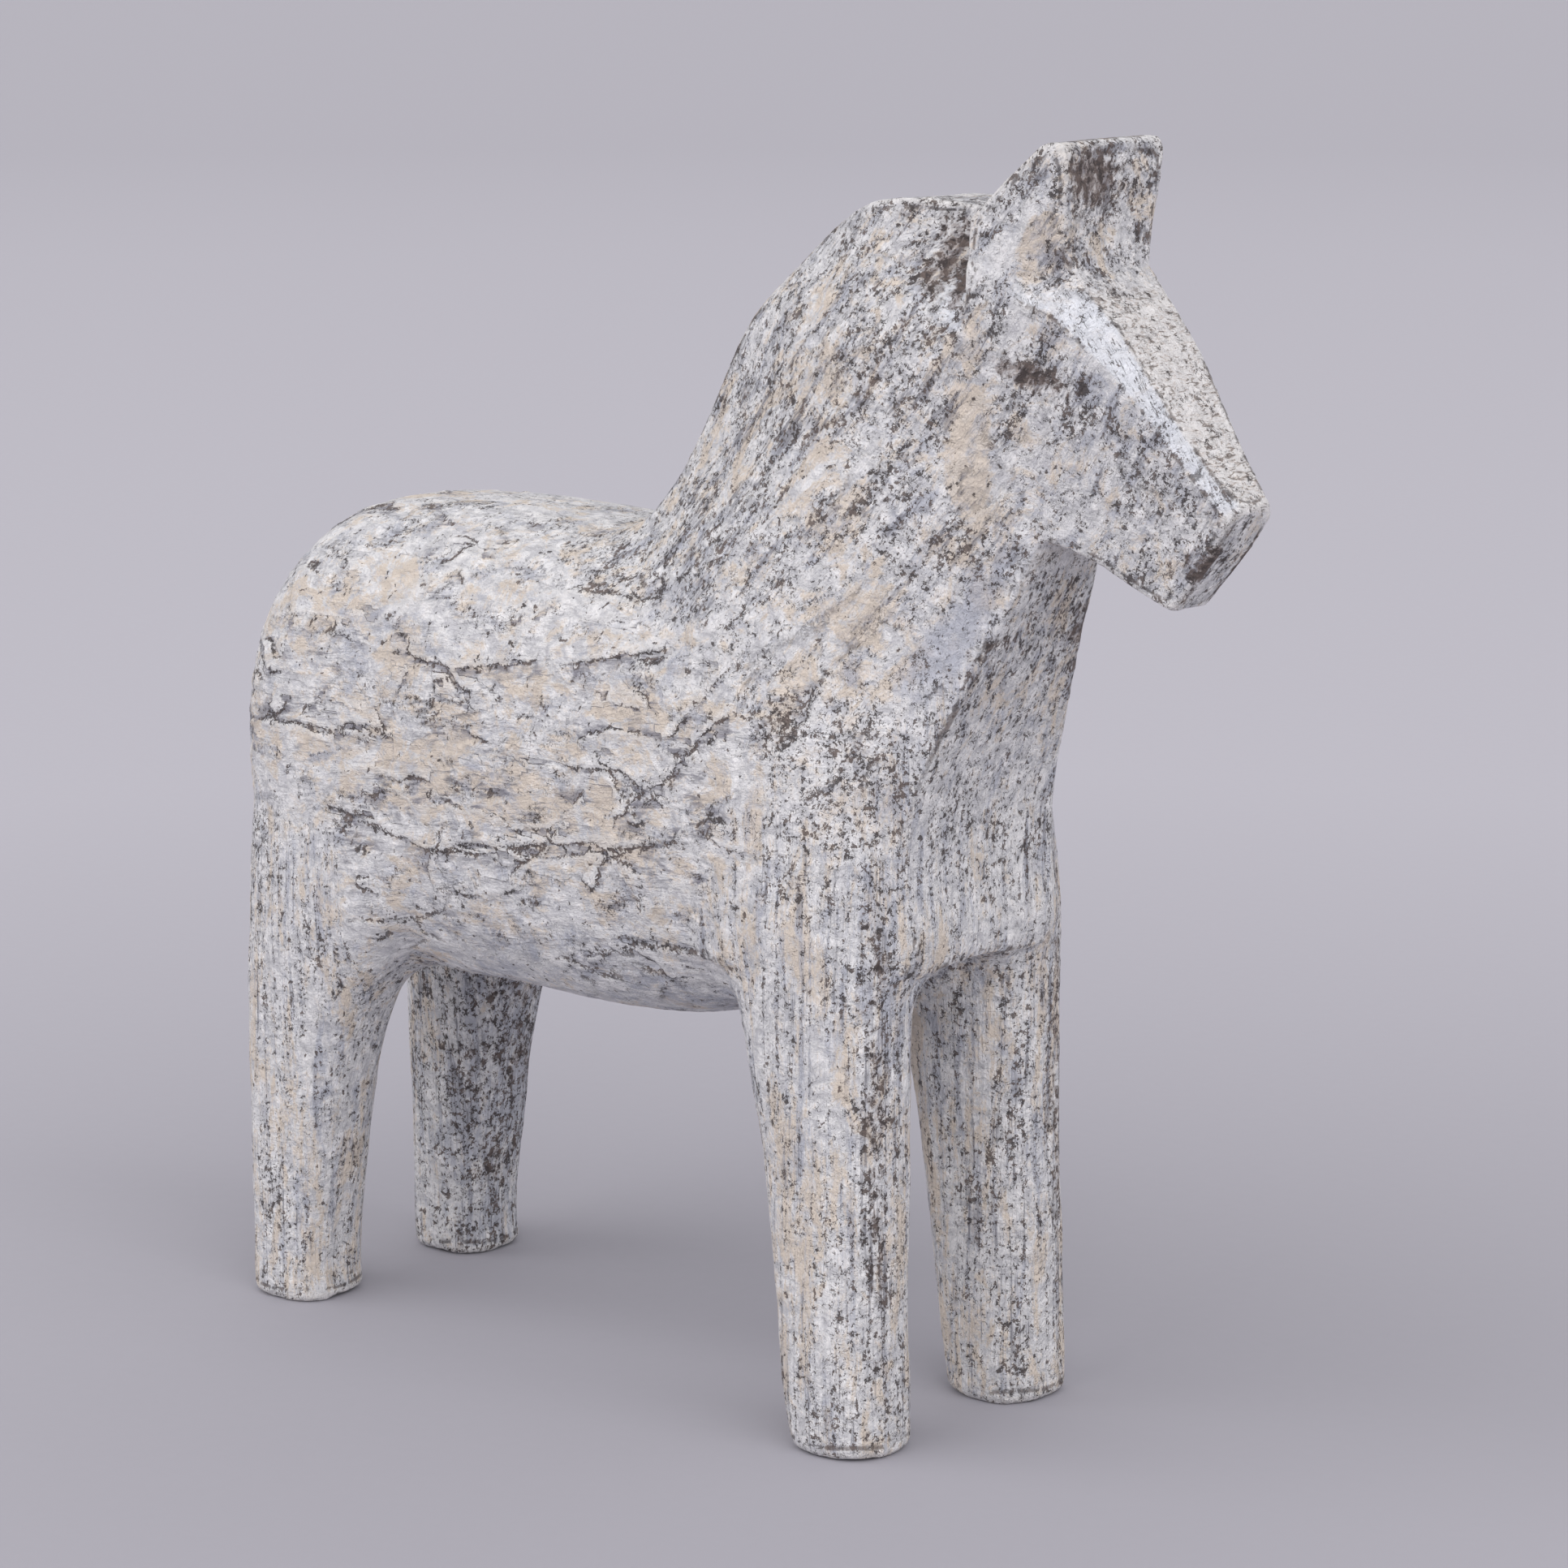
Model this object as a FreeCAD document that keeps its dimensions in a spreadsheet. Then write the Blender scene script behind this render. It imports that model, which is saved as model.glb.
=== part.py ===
import FreeCAD, Part
import math
import os

# A carved wooden horse, standing, head to +X. Millimetres, +Z up.
# The origin is at the middle of the horse's length and width, on the floor.
# The blank is glued up from three layers of upright boards, held in line by hidden dowels, and
# the outside of the blank is then sawn and carved to one continuous form.

Vector = FreeCAD.Vector

# Driving dimensions, held in the sheet under these aliases.
DRIVING = [
    ("horse_height", 297.0),
    ("horse_length", 288.0),
    ("body_width", 86.0),
    ("back_height", 203.5),
    ("belly_height", 86.0),
    ("crotch_height", 111.0),
    ("crest_half", 8.5),
    ("ear_top_half", 18.0),
    ("ear_base_half", 12.0),
    ("muzzle_half", 7.6),
    ("head_half", 20.0),
    ("foot_size", 25.4),
    ("foot_track", 56.0),
    ("foot_wheelbase", 182.0),
    ("foot_bevel", 1.6),
    ("feet_midway", -38.5),
    ("centre_thickness", 22.0),
    ("fore_seam", 12.0),
    ("hind_seam", -86.0),
    ("seam_stagger", 20.0),
    ("dowel_size", 10.0),
    ("dowel_chamfer", 1.0),
    ("bore_end_gap", 1.0),
    ("cross_dowel_length", 50.0),
    ("seam_dowel_length", 40.0),
]

# Where the dowels lie: name, X, Z of each dowel that runs across the three layers.
CROSS_DOWELS = [
    ("neck_dowel", 48.0, 212.0),
    ("shoulder_dowel", 50.0, 138.0),
    ("flank_dowel", -20.0, 128.0),
    ("rump_dowel", -116.0, 148.0),
]
SEAM_DOWEL_HEIGHTS = {"upper": 176.0, "lower": 116.0}


def make_sheet(doc):
    """The spreadsheet of driving dimensions, one alias a row."""
    sheet = doc.addObject("Spreadsheet::Sheet", "dimensions")
    for row, (alias, value) in enumerate(DRIVING, start=1):
        sheet.set(f"A{row}", alias)
        sheet.set(f"B{row}", str(value))
        sheet.setAlias(f"B{row}", alias)
    doc.recompute()
    return sheet


# ------------------------------------------------------------------ the carved form


def section(place, half_u, half_v, power, count=24):
    """A closed smooth curve round a rounded rectangle, from |u|^power + |v|^power = 1."""
    points = []
    for step in range(count):
        turn = 2 * math.pi * step / count
        u = half_u * math.copysign(abs(math.cos(turn)) ** (2 / power), math.cos(turn))
        v = half_v * math.copysign(abs(math.sin(turn)) ** (2 / power), math.sin(turn))
        points.append(place(u, v))
    curve = Part.BSplineCurve()
    curve.interpolate(Points=points, PeriodicFlag=True)
    return Part.Wire([curve.toShape()])


def spline(points):
    """A smooth open edge through the points."""
    curve = Part.BSplineCurve()
    curve.interpolate(Points=points)
    return curve.toShape()


def prism(points, thickness):
    """A flat outline in the XZ plane, given as (x, z), made as thick as given about Y = 0."""
    corners = [Vector(x, -thickness / 2, z) for x, z in points]
    outline = Part.makePolygon(corners + corners[:1])
    return Part.Face(outline).extrude(Vector(0, thickness, 0))


def trunk_shape(sheet):
    """The barrel: rounded sections from the rump to the chest, one smooth loft."""
    half = sheet.body_width / 2
    back = sheet.back_height
    belly = sheet.belly_height
    rump = -sheet.horse_length / 2
    # distance from the rump, underside above the belly, top below the back, inset of the side, power
    stations = [
        (0.0, 20.0, 42.0, 20.0, 2.2),
        (4.0, 11.0, 23.0, 8.5, 2.4),
        (15.0, 6.0, 9.5, 2.2, 2.6),
        (34.0, 1.5, 1.8, 0.4, 2.7),
        (68.0, 0.5, 0.0, 0.0, 2.7),
        (110.0, 0.0, 2.0, 0.0, 2.7),
        (152.0, 6.0, 5.0, 0.5, 2.7),
        (176.0, 14.0, 12.0, 1.0, 2.7),
        (192.0, 20.0, 22.0, 7.0, 2.6),
    ]
    wires = []
    for along, rise, drop, inset, power in stations:
        low = belly + rise
        high = back - drop
        middle = (low + high) / 2

        def place(u, v, x=rump + along, z=middle):
            return Vector(x, u, z + v)

        wires.append(section(place, half - inset, (high - low) / 2, power))
    return Part.makeLoft(wires, True, False)


def leg_shape(sheet, end, side):
    """One leg, from its foot up into the barrel. end is +1 for a fore leg, side +1 for the left."""
    foot = sheet.foot_size / 2
    foot_x = sheet.feet_midway + end * sheet.foot_wheelbase / 2
    outer = sheet.foot_track / 2 + foot
    # height, growth of the end face, of the side facing the belly, of the outer and of the inner face
    fore = [
        (0.0, 0.0, 0.0, 0.0, 0.0),
        (50.0, -1.0, 7.6, 0.0, 1.2),
        (85.0, -1.4, 13.9, 0.3, 2.6),
        (113.0, -1.4, 20.0, 0.6, 4.6),
        (150.0, -2.0, 24.0, -3.0, 9.0),
    ]
    hind = [
        (0.0, 0.0, 0.0, 0.0, 0.0),
        (30.0, 0.4, 1.4, 0.2, 0.6),
        (55.0, 0.9, 5.6, 0.6, 1.4),
        (78.0, 1.2, 13.5, 1.0, 3.0),
        (97.0, 1.5, 30.0, 1.6, 5.0),
        (133.0, 1.6, 66.0, 0.6, 9.0),
    ]
    wires = []
    for height, growth, belly_growth, outer_growth, inner_growth in fore if end > 0 else hind:
        end_face = foot + growth
        belly_face = foot + belly_growth
        middle_x = foot_x + end * (end_face - belly_face) / 2
        width = 2 * foot + outer_growth + inner_growth
        middle_y = outer + outer_growth - width / 2

        def place(u, v, x=middle_x, y=side * middle_y, z=height):
            return Vector(x + u, y + v, z)

        wires.append(section(place, (end_face + belly_face) / 2, width / 2, 2.5))
    leg = Part.makeLoft(wires, True, False)
    sole = [edge for edge in leg.Edges if edge.BoundBox.ZMax < sheet.foot_bevel]
    return leg.makeChamfer(sheet.foot_bevel, sole)


def neck_shape(sheet):
    """The neck and chest: smooth sides between a flat crest strip and a flat throat face."""
    crest = sheet.crest_half
    # how far the side has swelled, towards its widest, half way there from the crest
    swell = 0.68
    # height, then four places on the side from back to front, each as X and half width
    levels = [
        (sheet.crotch_height, (-26.0, 26.0), (28.0, 40.5), (56.0, 35.0), (65.5, 26.0)),
        (130.0, (-28.0, 25.0), (26.0, 42.0), (56.5, 36.0), (66.0, 26.0)),
        (150.0, (-32.0, 23.0), (24.0, 42.0), (56.5, 35.0), (67.5, 25.0)),
        (170.0, (-36.0, 20.0), (26.0, 40.5), (60.0, 31.5), (75.0, 20.5)),
        (188.0, (-37.0, 17.0), (30.0, 37.5), (65.0, 26.5), (83.0, 16.3)),
        (204.0, (-27.0, 14.5), (36.0, 34.0), (71.0, 23.5), (90.0, 13.2)),
        (220.0, (-17.0, crest + 2.2), (42.0, 30.0), (76.0, 21.0), (96.0, 12.5)),
        (240.0, (-6.0, crest + 0.6), (48.0, 26.0), (78.0, 20.2), (98.0, 13.0)),
        (260.0, (6.0, crest - 0.8), (54.0, 22.0), (78.0, 18.5), (97.0, 13.5)),
        (sheet.horse_height - 9.0, (28.0, crest - 1.0), (60.0, 16.5), (80.0, 14.5), (92.0, 12.0)),
    ]
    wires = []
    for z, back, wide, corner, front in levels:
        rising = ((back[0] + wide[0]) / 2, back[1] + swell * (wide[1] - back[1]))
        run = [back, rising, wide, corner, front]
        left = spline([Vector(x, y, z) for x, y in run])
        right = spline([Vector(x, -y, z) for x, y in reversed(run)])
        throat = Part.makeLine(Vector(front[0], front[1], z), Vector(front[0], -front[1], z))
        strip = Part.makeLine(Vector(back[0], -back[1], z), Vector(back[0], back[1], z))
        wires.append(Part.Wire([left, throat, right, strip]))
    return Part.makeLoft(wires, True, False)


def side_outline_shape(sheet):
    """The sawn side outline of the neck and barrel: crest, throat and chest, full width."""
    crest = [
        (-60.0, 202.9),
        (-48.0, 201.4),
        (-37.0, 199.0),
        (-28.0, 200.3),
        (-20.0, 206.5),
        (-12.5, 217.5),
        (-5.6, 231.0),
        (5.6, 249.5),
        (18.0, 263.6),
        (32.0, 275.2),
        (46.0, 281.6),
        (60.0, 282.8),
        (77.0, 280.6),
    ]
    throat = [
        (93.5, 212.0),
        (86.5, 196.0),
        (79.5, 180.0),
        (73.5, 162.0),
        (69.0, 140.0),
        (66.5, 111.0),
        (65.0, 88.0),
    ]
    back = spline([Vector(x, 0, z) for x, z in crest])
    front = spline([Vector(x, 0, z) for x, z in throat])
    top_end = Vector(crest[-1][0], 0, crest[-1][1])
    head_end = Vector(throat[0][0], 0, top_end.z)
    throat_top = Vector(throat[0][0], 0, throat[0][1])
    toe = Vector(throat[-1][0], 0, throat[-1][1])
    low = Vector(toe.x, 0, 0)
    low_back = Vector(-sheet.horse_length, 0, 0)
    high_back = Vector(-sheet.horse_length, 0, crest[0][1])
    start = Vector(crest[0][0], 0, crest[0][1])
    edges = [
        Part.makeLine(high_back, start),
        back,
        Part.makeLine(top_end, head_end),
        Part.makeLine(head_end, throat_top),
        front,
        Part.makeLine(toe, low),
        Part.makeLine(low, low_back),
        Part.makeLine(low_back, high_back),
    ]
    face = Part.Face(Part.Wire(edges))
    face.translate(Vector(0, -sheet.body_width, 0))
    return face.extrude(Vector(0, 2 * sheet.body_width, 0))


def cheek_half(sheet, x, z):
    """Half the head's width: both cheeks are planes that close towards the muzzle and the jaw."""
    narrowing_forward = 0.12
    widening_upward = 0.152
    muzzle_x = sheet.horse_length / 2 - 1.0
    return sheet.muzzle_half - narrowing_forward * (x - muzzle_x) + widening_upward * (z - 220.0)


def cheek_wedge(sheet, x_low, x_high, z_low, z_high):
    """The space between the two cheek planes."""
    wires = []
    for z in (z_low, z_high):
        back = cheek_half(sheet, x_low, z)
        front = cheek_half(sheet, x_high, z)
        right = [Vector(x_low, -back, z), Vector(x_high, -front, z)]
        left = [Vector(x_high, front, z), Vector(x_low, back, z)]
        wires.append(Part.makePolygon(right + left + right[:1]))
    return Part.makeLoft(wires, True, True)


def head_shape(sheet):
    """The head: a flat-sided wedge with a bevelled nose ridge and a square-cut muzzle."""
    nose_x = sheet.horse_length / 2
    outline = [
        (77.0, 212.0),
        (77.0, 270.0),
        (102.5, 268.5),
        (106.0, 264.8),
        (112.5, 258.8),
        (119.0, 251.3),
        (127.0, 240.8),
        (137.0, 228.6),
        (nose_x, 221.5),
        (137.6, 211.6),
        (131.5, 204.5),
        (125.5, 197.6),
        (118.5, 200.6),
        (105.0, 207.2),
        (96.0, 210.0),
    ]
    block = prism(outline, 2 * sheet.head_half)
    head = block.common(cheek_wedge(sheet, 70.0, nose_x + 4.0, 190.0, 290.0))
    return head.cut(nose_bevels(sheet))


def nose_bevels(sheet):
    """Two long wedges that bevel the edges between the cheeks and the front of the nose."""
    # X, then half width and height where the bevel meets the nose front and where it meets the cheek
    stations = [
        (84.0, 13.8, 276.0, 20.2, 268.0),
        (101.0, 13.8, 269.5, 19.8, 258.5),
        (118.0, 11.2, 252.5, 15.9, 243.5),
        (sheet.horse_length / 2 + 3.0, 3.6, 218.0, 7.2, 212.0),
    ]
    reach = 14.0
    cutters = []
    for side in (1, -1):
        wires = []
        for x, front, front_z, cheek, cheek_z in stations:
            slope = (front_z - cheek_z) / (cheek - front)
            inner = Vector(x, side * (front - 2.0), front_z + 2.0 * slope)
            outer = Vector(x, side * (cheek + reach), cheek_z - reach * slope)
            above = Vector(x, side * (cheek + reach), front_z + 3.0 * reach)
            wires.append(Part.makePolygon([inner, outer, above, inner]))
        cutters.append(Part.makeLoft(wires, True, True))
    return cutters[0].fuse(cutters[1])


def ear_shape(sheet):
    """Both ears as one upright block, fanned out towards a bevelled top."""
    top = sheet.horse_height
    base = 260.0
    outline = [
        (77.0, base),
        (77.0, 279.8),
        (86.5, 288.5),
        (95.5, top - 1.0),
        (97.5, top),
        (101.0, top),
        (102.8, top - 2.0),
        (102.6, 288.0),
        (101.2, 278.0),
        (102.0, 268.0),
        (102.0, base),
    ]
    block = prism(outline, 2 * sheet.head_half)
    # at each height: half width at the back, at the bend of the side and at the front face
    rings = [
        (base, 20.0, 86.0, 19.5, sheet.ear_base_half - 0.8),
        (266.0, 19.6, 88.0, 19.2, sheet.ear_base_half),
        (280.0, 18.6, 93.0, 18.4, 15.0),
        (top, 18.2, 97.0, 18.2, sheet.ear_top_half - 0.6),
    ]
    wires = []
    for z, back, bend_x, bend, front in rings:
        left = [Vector(74, back, z), Vector(bend_x, bend, z), Vector(103.5, front, z)]
        right = [Vector(point.x, -point.y, z) for point in reversed(left)]
        wires.append(Part.makePolygon(left + right + left[:1]))
    return block.common(Part.makeLoft(wires, True, True))


def carved_form(sheet):
    """The whole outside of the horse as one shape."""
    neck = neck_shape(sheet).common(side_outline_shape(sheet))
    form = trunk_shape(sheet).fuse(neck)
    for piece in (head_shape(sheet), ear_shape(sheet)):
        form = form.fuse(piece)
    for end in (1, -1):
        for side in (1, -1):
            form = form.fuse(leg_shape(sheet, end, side))
    return form


def add_form(doc, sheet):
    form = doc.addObject("Part::Feature", "carved_form")
    form.Shape = carved_form(sheet)
    return form


# ------------------------------------------------------------------ dowels


def add_dowel(doc, name, turn, place):
    """A dowel with bevelled ends, and the bore it lies in. place gives a length's three position rules."""
    made = []
    for suffix, length in (("", "{}"), ("_bore", "({} + 2 * dimensions.bore_end_gap)")):
        rod = doc.addObject("Part::Cylinder", f"{name}{suffix or '_blank'}")
        size = length.format(place["length"])
        rod.setExpression("Radius", "dimensions.dowel_size / 2")
        rod.setExpression("Height", size)
        rod.Placement.Rotation = turn
        for axis in "xyz":
            rod.setExpression(f"Placement.Base.{axis}", place[axis].replace("LENGTH", size))
        made.append(rod)
    rod, bore = made
    doc.recompute()
    dowel = doc.addObject("Part::Chamfer", name)
    dowel.Base = rod
    bevel = doc.dimensions.dowel_chamfer
    ends = [index for index, edge in enumerate(rod.Shape.Edges, start=1) if edge.Closed]
    dowel.Edges = [(index, bevel, bevel) for index in ends]
    dowel.Label = name
    return dowel, bore


def add_dowels(doc):
    """Every dowel and its bore: across the layers, and along the horse at the seams."""
    dowels = []
    bores = []
    across = FreeCAD.Rotation(Vector(1, 0, 0), -90)
    along = FreeCAD.Rotation(Vector(0, 1, 0), 90)
    for name, x, z in CROSS_DOWELS:
        place = {"length": "dimensions.cross_dowel_length", "x": str(x), "y": "-LENGTH / 2", "z": str(z)}
        dowel, bore = add_dowel(doc, name, across, place)
        dowels.append(dowel)
        bores.append(bore)
    for end in ("fore", "hind"):
        for level, z in SEAM_DOWEL_HEIGHTS.items():
            place = {
                "length": "dimensions.seam_dowel_length",
                "x": f"dimensions.{end}_seam + dimensions.seam_stagger - LENGTH / 2",
                "y": "0",
                "z": str(z),
            }
            dowel, bore = add_dowel(doc, f"{end}_seam_dowel_{level}", along, place)
            dowels.append(dowel)
            bores.append(bore)
    return dowels, bores


# ------------------------------------------------------------------ boards


def add_board(doc, bored_form, layer, end):
    """One board: what its place in the blank leaves of the carved and bored form."""
    half = "dimensions.centre_thickness / 2"
    side = "dimensions.body_width"
    across = {
        "right": (f"-{side}", f"({side} - {half})"),
        "centre": (f"-{half}", "dimensions.centre_thickness"),
    }
    stagger = " + dimensions.seam_stagger" if layer == "centre" else ""
    fore = f"(dimensions.fore_seam{stagger})"
    hind = f"(dimensions.hind_seam{stagger})"
    along = {
        "fore": (fore, f"(dimensions.horse_length - {fore})"),
        "middle": (hind, f"({fore} - {hind})"),
        "hind": ("-dimensions.horse_length", f"(dimensions.horse_length + {hind})"),
    }
    name = f"{layer}_{end}_board"
    blank = doc.addObject("Part::Box", f"{name}_blank")
    blank.setExpression("Placement.Base.x", along[end][0])
    blank.setExpression("Length", along[end][1])
    blank.setExpression("Placement.Base.y", across[layer][0])
    blank.setExpression("Width", across[layer][1])
    blank.setExpression("Height", "dimensions.horse_height + 1")
    board = doc.addObject("Part::Common", name)
    board.Base = bored_form
    board.Tool = blank
    board.Label = name
    return board


def add_mirrored_board(doc, right_board):
    """The left board that matches a right one, mirrored in the plane Y = 0."""
    name = right_board.Label.replace("right", "left")
    board = doc.addObject("Part::Mirroring", name)
    board.Source = right_board
    board.Normal = Vector(0, 1, 0)
    board.Label = name
    return board


def build():
    doc = FreeCAD.newDocument("carved_horse")
    sheet = make_sheet(doc)
    form = add_form(doc, sheet)
    dowels, bores = add_dowels(doc)
    all_bores = doc.addObject("Part::MultiFuse", "all_bores")
    all_bores.Shapes = bores
    bored_form = doc.addObject("Part::Cut", "bored_form")
    bored_form.Base = form
    bored_form.Tool = all_bores
    boards = [
        add_board(doc, bored_form, layer, end)
        for layer in ("right", "centre")
        for end in ("fore", "middle", "hind")
    ]
    boards += [add_mirrored_board(doc, board) for board in boards[:3]]
    doc.recompute()
    return doc, boards + dowels


def check(doc, pieces):
    """Stops if any object failed or any piece is missing or broken."""
    for item in doc.Objects:
        if "Invalid" in item.State or "Error" in item.State:
            raise RuntimeError(f"{item.Name} failed: {item.State}")
    for piece in pieces:
        shape = piece.Shape
        if shape.isNull() or not shape.isValid() or len(shape.Solids) != 1:
            raise RuntimeError(f"{piece.Label} is not one valid solid ({len(shape.Solids)} solids)")


def write(pieces):
    os.makedirs("parts", exist_ok=True)
    for piece in pieces:
        piece.Shape.exportStep(f"parts/{piece.Label}.step")
        box = piece.Shape.BoundBox
        print(f"{piece.Label}: {box.XLength:.1f} x {box.YLength:.1f} x {box.ZLength:.1f} mm,"
              f" {piece.Shape.Volume / 1000:.1f} cm3")


document, all_pieces = build()
check(document, all_pieces)
write(all_pieces)
outer = document.carved_form.Shape.BoundBox
print(f"whole: X {outer.XMin:.1f}..{outer.XMax:.1f} Y {outer.YMin:.1f}..{outer.YMax:.1f}"
      f" Z {outer.ZMin:.1f}..{outer.ZMax:.1f}")
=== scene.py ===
import math

import bpy
import numpy as np
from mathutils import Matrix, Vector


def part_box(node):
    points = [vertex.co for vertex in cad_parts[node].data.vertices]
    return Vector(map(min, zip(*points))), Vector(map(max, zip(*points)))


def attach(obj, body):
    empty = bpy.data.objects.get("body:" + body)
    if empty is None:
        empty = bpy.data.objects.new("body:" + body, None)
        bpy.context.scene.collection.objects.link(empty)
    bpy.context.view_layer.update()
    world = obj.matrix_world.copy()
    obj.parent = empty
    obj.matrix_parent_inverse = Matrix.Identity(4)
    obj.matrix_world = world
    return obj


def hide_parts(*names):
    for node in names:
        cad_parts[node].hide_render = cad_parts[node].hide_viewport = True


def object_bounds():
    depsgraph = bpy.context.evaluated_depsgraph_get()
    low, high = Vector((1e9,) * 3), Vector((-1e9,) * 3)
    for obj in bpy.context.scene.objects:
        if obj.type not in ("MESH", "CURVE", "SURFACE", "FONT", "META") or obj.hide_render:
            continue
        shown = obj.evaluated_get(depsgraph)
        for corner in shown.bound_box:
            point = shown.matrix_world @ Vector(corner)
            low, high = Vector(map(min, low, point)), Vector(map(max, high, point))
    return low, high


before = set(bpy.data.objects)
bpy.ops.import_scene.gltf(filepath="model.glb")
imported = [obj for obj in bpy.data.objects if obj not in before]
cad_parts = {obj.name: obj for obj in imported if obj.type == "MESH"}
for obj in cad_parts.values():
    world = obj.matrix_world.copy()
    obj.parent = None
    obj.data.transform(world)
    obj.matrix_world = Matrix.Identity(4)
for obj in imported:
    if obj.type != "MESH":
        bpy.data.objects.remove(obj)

import openvdb
from mathutils import Vector
from mathutils.kdtree import KDTree

# A carved wooden horse in worn, brushed-out paint. Metres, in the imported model's frame:
# +X to the nose, +Z up. The boards' outsides are joined, their inside corners are rounded as a
# carver leaves them, and paint relief is laid on before the form is cut back into its boards.

LAYERS = ("right", "centre", "left")
ENDS = ("fore", "middle", "hind")
BOARDS = [f"{layer}_{end}_board" for layer in LAYERS for end in ENDS]
DOWELS = sorted(set(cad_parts) - set(BOARDS))
CAD_LOW, CAD_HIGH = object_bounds()
LAYER_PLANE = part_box("centre_fore_board")[1].y
BORE_GAP = 0.001
FINE, COARSE = 0.0008, 0.0018  # cell sizes of the distance grids
MARGIN = 0.009  # how far the grids reach past the form
BARREL_RADIUS, CORNER_RADIUS = 0.022, 0.009  # of inside corners, at the barrel and elsewhere
FAR_OFF = 0.02  # the most that a distance to a torn edge or an overlap can be
WEAR_PASSES = 14  # of the blur that finds the arrises
BLANK_REACH = 0.4  # of a board's cutting block, where the board has no glue line
FOOT_HEIGHT = 0.004  # the feet stay flat below this
LEAN = 0.0026  # of the muzzle, to the horse's right
SCOOP, SCOOP_GROOVE = 0.0011, 0.0005  # depths in the ears' front face
# Heights of the relief: knife marks, flats down the legs, steps and grooves where strokes of the
# brush overlap, the brush's drag along the barrel, comb down the legs and sweep up the neck, grit.
KNIFE, KNIFE_RIPPLE, FLAT = 0.00040, 0.00015, 0.00036
STEP, GROOVE = 0.00042, -0.00022
DRAG, COMB, SWEEP, GRIT = 0.00013, 0.00014, 0.00010, 0.00005
FLOOR_HALF = 30.0
# What the painted form keeps at each of its points, and the material reads.
FIELDS = ("form_normal", "worn_edge", "daub", "torn", "column", "neck", "flank", "belly", "head",
          "nose", "chamfer", "rubbed", "cream", "blue")


# ------------------------------------------------------------------ numbers


def smooth(value, start, end):
    """0 before start, 1 after end, and a smooth rise between them."""
    t = np.clip((value - start) / (end - start), 0.0, 1.0)
    return t * t * (3 - 2 * t)


def lattice(cells, seed):
    """A fixed random value from -1 to 1 for each whole-number cell."""
    mask = np.uint64(0xFFFFFFFF)
    c = cells.astype(np.int64).astype(np.uint64)
    mixed = c[..., 0] * np.uint64(374761393) + c[..., 1] * np.uint64(668265263)
    mixed = (mixed + c[..., 2] * np.uint64(2246822519) + np.uint64(seed * 3266489917)) & mask
    mixed = ((mixed ^ (mixed >> np.uint64(13))) * np.uint64(1274126177)) & mask
    mixed = mixed ^ (mixed >> np.uint64(16))
    return (mixed & np.uint64(0xFFFF)).astype(np.float64) / 32767.5 - 1.0


def cell_corners(f):
    """Each corner of a cell, 0 or 1 along each axis, and its share at the place f in the cell."""
    for i, j, k in np.ndindex(2, 2, 2):
        yield (i, j, k), np.abs(1 - i - f[:, 0]) * np.abs(1 - j - f[:, 1]) * np.abs(1 - k - f[:, 2])


def noise(points, size, seed):
    """Smooth noise from about -1 to 1, with lumps of one size, or of one for each axis."""
    place = points / np.asarray(size) + 13.7 * seed
    cell = np.floor(place)
    f = place - cell
    f = f * f * f * (f * (f * 6 - 15) + 10)
    total = np.zeros(len(points))
    for corner, share in cell_corners(f):
        total += share * lattice(cell + corner, seed)
    return total


def layered(points, size, seed, octaves=3, fade=0.5):
    """Noise with finer noise on it."""
    size = np.asarray(size, float)
    total = np.zeros(len(points))
    weight = 1.0
    for octave in range(octaves):
        total += weight * noise(points, size / 2**octave, seed + octave)
        weight *= fade
    return total


def turned(points, degrees):
    """The points turned about Y, so that what rises by this angle towards +X lies along +X."""
    c, s = math.cos(math.radians(degrees)), math.sin(math.radians(degrees))
    x, y, z = points.T
    return np.stack([x * c + z * s, y, z * c - x * s], axis=1)


# ------------------------------------------------------------------ the carved form


def node_mesh(node):
    """A CAD node's points and triangles."""
    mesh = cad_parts[node].data
    points = np.empty(len(mesh.vertices) * 3, np.float32)
    mesh.vertices.foreach_get("co", points)
    mesh.calc_loop_triangles()
    corners = np.empty(len(mesh.loop_triangles) * 3, np.int32)
    mesh.loop_triangles.foreach_get("vertices", corners)
    return points.reshape(-1, 3), corners.reshape(-1, 3)


def board_limits(board):
    """A board's lowest and highest X, then Y, at its glue lines. Carved sides are far off."""
    layer, end, _ = board.split("_")
    low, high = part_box(board)
    fore_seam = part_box(f"{layer}_fore_board")[0].x
    far = 1.0
    along = {"fore": (low.x, far), "middle": (low.x, fore_seam), "hind": (-far, high.x)}
    across = {"right": (-far, -LAYER_PLANE), "centre": (-LAYER_PLANE, LAYER_PLANE),
              "left": (LAYER_PLANE, far)}
    return along[end], across[layer]


def outside():
    """Points and triangles of the carved outside: no faces on glue lines or in bores."""
    all_points, all_triangles, count = [], [], 0
    for board in BOARDS:
        points, triangles = node_mesh(board)
        hidden = np.zeros(len(triangles), bool)
        for axis, limits in enumerate(board_limits(board)):
            for limit in limits:
                hidden |= (np.abs(points[triangles][:, :, axis] - limit) < 2e-5).all(axis=1)
        for dowel in DOWELS:
            low, high = (np.array(corner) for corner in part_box(dowel))
            inside = (points > low - 1.2 * BORE_GAP) & (points < high + 1.2 * BORE_GAP)
            hidden |= inside.all(axis=1)[triangles].all(axis=1)
        all_points.append(points)
        all_triangles.append(triangles[~hidden] + count)
        count += len(points)
    return np.vstack(all_points), np.vstack(all_triangles).astype(np.uint32)


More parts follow.
